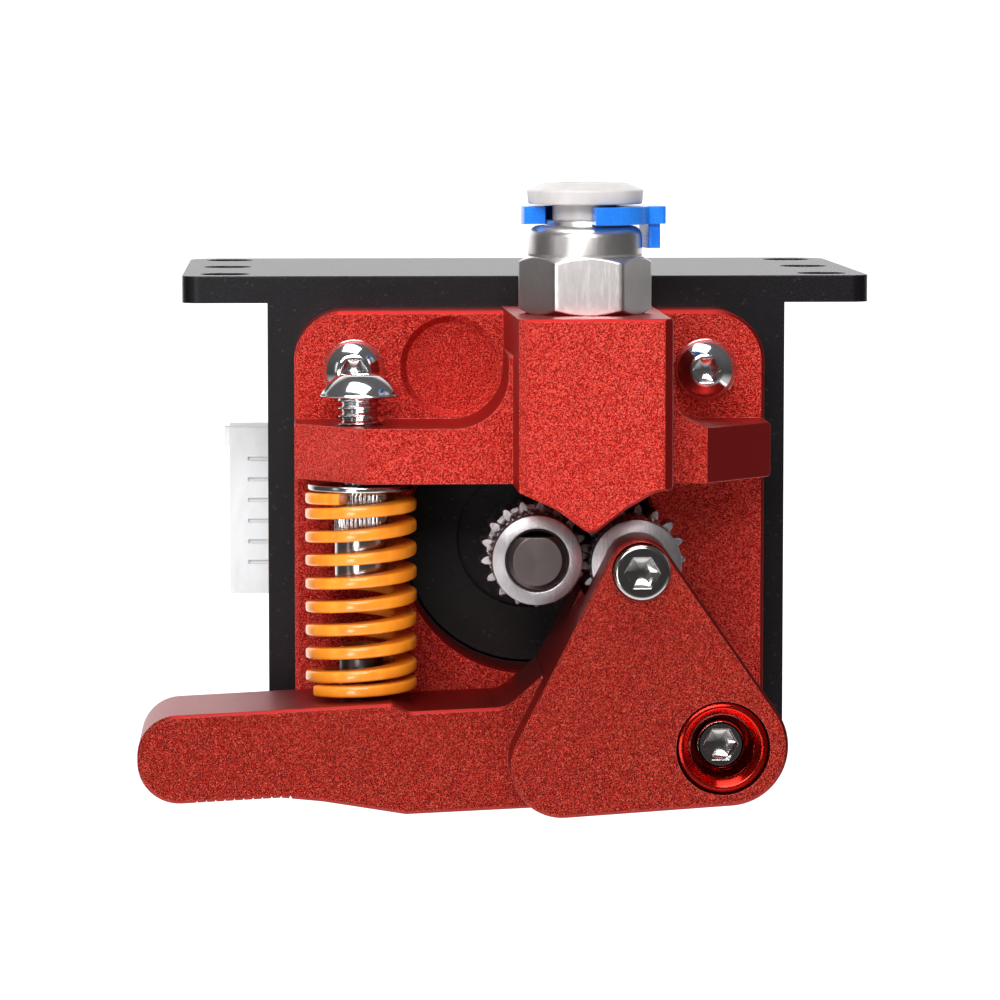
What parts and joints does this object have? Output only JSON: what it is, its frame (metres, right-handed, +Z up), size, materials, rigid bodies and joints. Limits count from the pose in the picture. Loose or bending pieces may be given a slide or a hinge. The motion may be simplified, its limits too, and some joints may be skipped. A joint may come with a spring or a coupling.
{
  "type": "extruder gear assembly",
  "caption": "Dual-gear filament extruder on a black L bracket: red base, sprung lever arm, meshed drive and idler gears, push-in tube fitting and stepper motor.",
  "frame": {"origin": "centre of the six-hole pattern, on the top face of the bracket's flange", "axes": "+X to the right seen from the gear side, +Y back along the motor shaft, +Z up out of the flange"},
  "size_m": [0.065, 0.0681, 0.0541],
  "materials": {
    "black_bracket": "satin black powder coat",
    "red_anodised": "sand blasted and anodised red",
    "red_anodised_dark": "sand blasted and anodised red",
    "red_polished": "turned and anodised red",
    "bright_screws": "bright plated",
    "steel_screws": "satin",
    "dark_steel": "dark",
    "gear_steel": "satin turned",
    "bearing_steel": "ground",
    "shaft_steel": "ground",
    "rotor_steel": "ground",
    "yellow_spring": "glossy yellow paint",
    "bright_seat": "knurled and plated",
    "fitting_nickel": "nickel plated",
    "black_rubber": "matte",
    "white_collet": "glossy white",
    "blue_clip": "glossy blue",
    "motor_cap_black": "satin black",
    "motor_laminations": "satin black over stacked sheets",
    "copper_wire": "enamelled copper",
    "white_nylon": "matte white",
    "tinned_pins": "tinned"
  },
  "bodies": {
    "base": {"bracket": "black_bracket", "extruder_base": "red_anodised", "base_button_screws": "bright_screws", "base_flat_screw": "bright_screws", "pivot_bushing": "red_polished", "pivot_screw": "steel_screws", "fitting_body": "fitting_nickel", "fitting_collar": "fitting_nickel", "fitting_grip_ring": "bearing_steel", "fitting_oring": "black_rubber", "motor_front_cap": "motor_cap_black", "motor_stator": "motor_laminations", "motor_windings": "copper_wire", "motor_bobbins": "white_nylon", "motor_rear_cap": "motor_cap_black", "motor_case_screws": "steel_screws", "bearing_outer_rings": "bearing_steel", "bearing_balls": "bearing_steel", "wave_washer": "shaft_steel", "connector_housing": "white_nylon", "connector_pins": "tinned_pins", "spring": "yellow_spring"},
    "lever": {"lever_arm": "red_anodised_dark", "spring_post": "dark_steel", "idler_screw": "steel_screws"},
    "idler": {"idler_gear": "gear_steel", "idler_bearings": "bearing_steel"},
    "rotor": {"motor_shaft": "shaft_steel", "rotor_cups": "rotor_steel", "rotor_magnet": "dark_steel", "bearing_inner_rings": "bearing_steel", "drive_gear": "gear_steel", "drive_gear_grub_screw": "dark_steel"},
    "seat": {"spring_seat": "bright_seat"},
    "screw": {"adjust_screw": "bright_screws"},
    "collet": {"fitting_collet": "white_collet"},
    "clip": {"fitting_clip": "blue_clip"}
  },
  "joints": [
    {"name": "lever_pivot", "type": "hinge", "parent": "base", "child": "lever", "pos_m": [0.0155, -0.035, -0.03905], "axis": [0, 1, 0], "range_deg": [0, 6], "stiffness_Nm_per_rad": 1, "springref_deg": -5.73, "deforming": ["spring"]},
    {"name": "shaft_spin", "type": "hinge", "parent": "base", "child": "rotor", "pos_m": [0, -0.026, -0.02355], "axis": [0, 1, 0], "continuous": true},
    {"name": "idler_spin", "type": "hinge", "parent": "lever", "child": "idler", "pos_m": [0.0085, -0.0345, -0.02395], "axis": [0, 1, 0], "continuous": true},
    {"name": "seat_slide", "type": "slide", "parent": "base", "child": "seat", "axis": [0, 0, 1], "range_m": [-0.0022, 0]},
    {"name": "screw_turn", "type": "hinge", "parent": "seat", "child": "screw", "pos_m": [-0.015, -0.0325, -0.01355], "axis": [0, 0, 1], "range_deg": [-1132, 0]},
    {"name": "collet_press", "type": "slide", "parent": "base", "child": "collet", "axis": [0, 0, 1], "range_m": [-0.00015, 0], "stiffness_N_per_m": 300, "springref_m": 0.0004},
    {"name": "clip_turn", "type": "hinge", "parent": "base", "child": "clip", "pos_m": [0.00425, -0.0356, 0.00585], "axis": [0, 0, 1], "continuous": true}
  ],
  "couplings": [
    {"joint": "idler_spin", "follows": "shaft_spin", "ratio": -1},
    {"joint": "screw_turn", "follows": "seat_slide", "rad_per_m": 8976}
  ]
}
